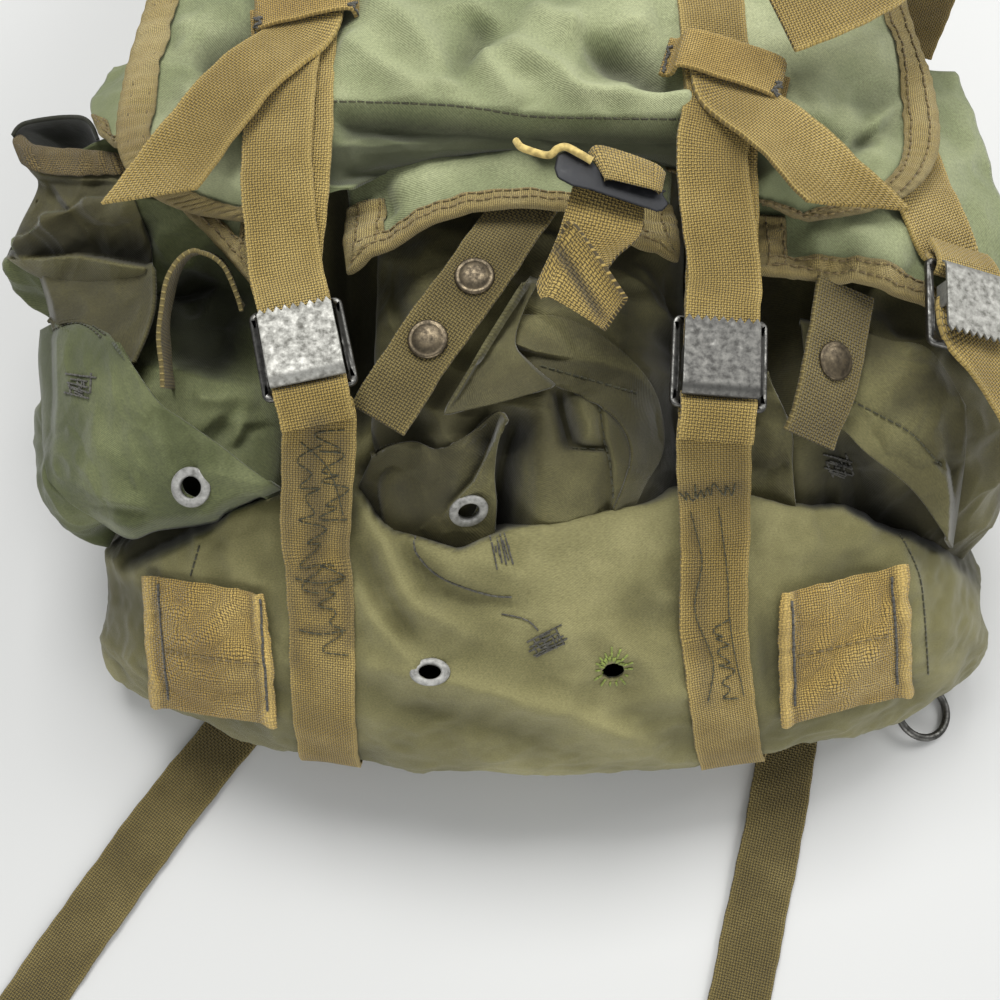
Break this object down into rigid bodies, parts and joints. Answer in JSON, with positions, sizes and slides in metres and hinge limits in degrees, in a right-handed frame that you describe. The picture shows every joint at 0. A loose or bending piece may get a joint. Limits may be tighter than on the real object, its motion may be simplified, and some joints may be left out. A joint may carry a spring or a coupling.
{
  "type": "military rucksack",
  "caption": "Olive nylon field rucksack lying on its back, half empty, with flap, buckled straps and outer pockets, for carrying gear on the back.",
  "frame": {"origin": "point of the back panel on the ground, in the middle of the pack", "axes": "+Y towards the top of the pack, +Z out of its front, away from the ground it lies on"},
  "size_m": [0.4312, 0.6105, 0.2091],
  "materials": {
    "nylon_olive": "matt worn twill",
    "nylon_sage": "matt worn twill, lighter",
    "binding_tan": "matt woven tape",
    "binding_brown": "matt woven tape, darker",
    "webbing_khaki": "coarse webbing",
    "webbing_tan": "fine webbing",
    "webbing_dark": "coarse webbing, dark",
    "buckle_steel": "worn pressed steel",
    "snap_bronze": "dark bronzed",
    "eyelet_zinc": "dull rolled metal",
    "ring_steel": "dark steel wire",
    "plastic_black": "charcoal moulded",
    "tie_cord": "braided tie"
  },
  "bodies": {
    "root": {"bag_body": "nylon_olive", "pocket_left": "nylon_olive", "pocket_centre": "nylon_olive", "pocket_right": "nylon_olive", "storm_flap": "nylon_sage", "pocket_flap_left": "nylon_sage", "pocket_flap_centre": "nylon_sage", "pocket_flap_right": "nylon_sage", "storm_flap_binding": "binding_tan", "pocket_flap_binding_left": "binding_tan", "pocket_flap_binding_centre": "binding_tan", "pocket_flap_binding_right": "binding_tan", "pocket_mouth_binding_left": "binding_brown", "closing_strap_left": "webbing_khaki", "closing_strap_right": "webbing_khaki", "sewn_strap_left": "webbing_khaki", "sewn_strap_right": "webbing_khaki", "side_strap_upper": "webbing_khaki", "side_strap_lower": "webbing_khaki", "upper_strap_end": "webbing_khaki", "snap_tab_left": "webbing_khaki", "snap_tab_centre": "webbing_khaki", "snap_tab_right": "webbing_khaki", "slide_buckle_webbing": "webbing_khaki", "ring_hanger": "webbing_khaki", "keeper_left": "webbing_tan", "keeper_right": "webbing_tan", "bottom_loop_left": "webbing_tan", "bottom_loop_right": "webbing_tan", "base_strap_left": "webbing_dark", "base_strap_right": "webbing_dark", "buckle_frame_left": "buckle_steel", "buckle_plate_left": "buckle_steel", "buckle_frame_right": "buckle_steel", "buckle_plate_right": "buckle_steel", "buckle_frame_side": "buckle_steel", "buckle_plate_side": "buckle_steel", "snap_centre_upper": "snap_bronze", "snap_centre_lower": "snap_bronze", "snap_right": "snap_bronze", "eyelet_bottom": "eyelet_zinc", "eyelet_pocket_left": "eyelet_zinc", "eyelet_pocket_centre": "eyelet_zinc", "ring": "ring_steel", "slide_buckle": "plastic_black", "tie_end": "tie_cord"}
  },
  "joints": []
}
